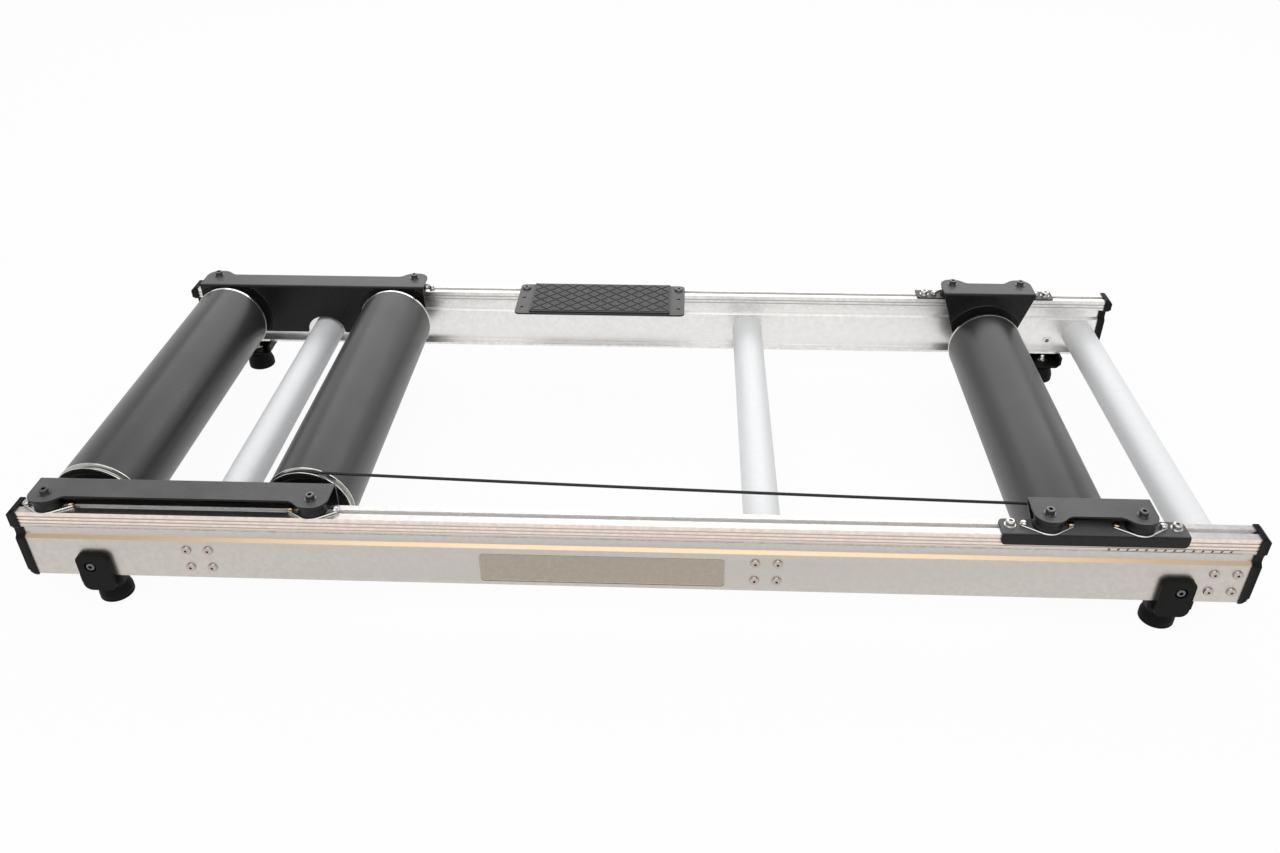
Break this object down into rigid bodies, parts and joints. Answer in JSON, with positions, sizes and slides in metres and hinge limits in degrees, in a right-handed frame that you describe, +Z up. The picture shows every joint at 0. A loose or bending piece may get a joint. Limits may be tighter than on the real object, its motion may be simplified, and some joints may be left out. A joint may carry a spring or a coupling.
{
  "type": "bike rollers",
  "caption": "Indoor bicycle training rollers: two aluminium rails, belt-linked drums on rubber-sprung carriages, a sliding front carriage, a step and levelling feet.",
  "frame": {"origin": "on the floor, below the middle of the rails' length and width", "axes": "+X along the rails towards the front drum, +Y across towards the rail with the step, +Z up"},
  "size_m": [1.386, 0.585, 0.1602],
  "materials": {
    "rail_aluminium": "satin anodised, drawn along the rail",
    "cap_plastic": "fine matt",
    "tube_aluminium": "satin anodised, drawn",
    "raw_aluminium": "as turned",
    "zinc_steel": "bright zinc plated",
    "axle_steel": "ground",
    "nameplate": "blank satin plate",
    "step_coating": "satin black powder coat",
    "mat_rubber": "ribbed matt rubber",
    "black_screw": "black oxide",
    "bracket_plastic": "satin black cast",
    "foot_rubber": "matt rubber",
    "damper_rubber": "matt rubber",
    "belt": "smooth round belting",
    "black_coating": "satin black coat",
    "drum_anodised": "satin black anodised, turned",
    "ring_aluminium": "bright turned",
    "hub_plastic": "matt black",
    "bearing_steel": "ground"
  },
  "bodies": {
    "frame": {"rail_near": "rail_aluminium", "rail_far": "rail_aluminium", "rail_caps_rear": "cap_plastic", "rail_caps_front": "cap_plastic", "crossbar_rear": "tube_aluminium", "crossbar_middle": "tube_aluminium", "crossbar_front": "tube_aluminium", "crossbar_plugs": "raw_aluminium", "crossbar_screws": "zinc_steel", "nameplate": "nameplate", "foot_brackets": "bracket_plastic", "foot_bracket_screws": "black_screw", "foot_rivet_nuts": "zinc_steel", "foot_lock_nuts": "zinc_steel", "rear_dampers": "damper_rubber", "rear_damper_wires": "zinc_steel", "rear_damper_pins": "zinc_steel", "drive_belt": "belt"},
    "step": {"step_plate": "step_coating", "step_mat": "mat_rubber", "step_screws": "black_screw", "step_nuts": "zinc_steel"},
    "foot_rn": {"foot_puck_rn": "foot_rubber", "foot_stud_rn": "zinc_steel"},
    "foot_rf": {"foot_puck_rf": "foot_rubber", "foot_stud_rf": "zinc_steel"},
    "foot_fn": {"foot_puck_fn": "foot_rubber", "foot_stud_fn": "zinc_steel"},
    "foot_ff": {"foot_puck_ff": "foot_rubber", "foot_stud_ff": "zinc_steel"},
    "rear_carriage": {"rear_carriage_near": "black_coating", "rear_carriage_far": "black_coating", "rear_carriage_screws": "black_screw", "rear_drum_axle": "axle_steel", "mid_drum_axle": "axle_steel", "rear_axle_nuts": "zinc_steel"},
    "rear_drum": {"rear_drum_shell": "drum_anodised", "rear_drum_rings": "ring_aluminium", "rear_drum_hubs": "hub_plastic", "rear_drum_bearings": "bearing_steel"},
    "mid_drum": {"mid_drum_shell": "drum_anodised", "mid_drum_rings": "ring_aluminium", "mid_drum_hubs": "hub_plastic", "mid_drum_bearings": "bearing_steel"},
    "front_slider": {"slider_base_near": "black_coating", "slider_base_far": "black_coating", "slider_bolts": "zinc_steel", "slider_nuts": "zinc_steel", "front_dampers": "damper_rubber", "front_damper_wires": "zinc_steel", "front_damper_pins": "zinc_steel"},
    "front_carriage": {"front_carriage_near": "black_coating", "front_carriage_far": "black_coating", "front_carriage_screws": "black_screw", "front_drum_axle": "axle_steel", "front_axle_nuts": "zinc_steel"},
    "front_drum": {"front_drum_shell": "drum_anodised", "front_drum_rings": "ring_aluminium", "front_drum_hubs": "hub_plastic", "front_drum_bearings": "bearing_steel"}
  },
  "joints": [
    {"name": "foot_rn_height", "type": "slide", "parent": "frame", "child": "foot_rn", "axis": [0, 0, 1], "range_m": [-0.006, 0.002]},
    {"name": "foot_rf_height", "type": "slide", "parent": "frame", "child": "foot_rf", "axis": [0, 0, 1], "range_m": [-0.006, 0.002]},
    {"name": "foot_fn_height", "type": "slide", "parent": "frame", "child": "foot_fn", "axis": [0, 0, 1], "range_m": [-0.006, 0.002]},
    {"name": "foot_ff_height", "type": "slide", "parent": "frame", "child": "foot_ff", "axis": [0, 0, 1], "range_m": [-0.006, 0.002]},
    {"name": "step_slide", "type": "slide", "parent": "frame", "child": "step", "axis": [1, 0, 0], "range_m": [-0.12, 0.25]},
    {"name": "rear_carriage_give", "type": "slide", "parent": "frame", "child": "rear_carriage", "axis": [1, 0, 0], "range_m": [-0.004, 0.004], "stiffness_N_per_m": 8000, "deforming": ["rear_dampers", "drive_belt"]},
    {"name": "rear_drum_spin", "type": "hinge", "parent": "rear_carriage", "child": "rear_drum", "pos_m": [-0.6235, 0, 0.101], "axis": [0, 1, 0], "continuous": true},
    {"name": "mid_drum_spin", "type": "hinge", "parent": "rear_carriage", "child": "mid_drum", "pos_m": [-0.3735, 0, 0.101], "axis": [0, 1, 0], "continuous": true},
    {"name": "front_slider_slide", "type": "slide", "parent": "frame", "child": "front_slider", "axis": [1, 0, 0], "range_m": [-0.081, 0.049], "deforming": ["drive_belt"]},
    {"name": "front_carriage_give", "type": "slide", "parent": "front_slider", "child": "front_carriage", "axis": [1, 0, 0], "range_m": [-0.004, 0.004], "stiffness_N_per_m": 8000, "deforming": ["front_dampers", "drive_belt"]},
    {"name": "front_drum_spin", "type": "hinge", "parent": "front_carriage", "child": "front_drum", "pos_m": [0.507, 0, 0.0766], "axis": [0, 1, 0], "continuous": true}
  ],
  "couplings": [
    {"joint": "front_drum_spin", "follows": "mid_drum_spin", "ratio": 1}
  ]
}
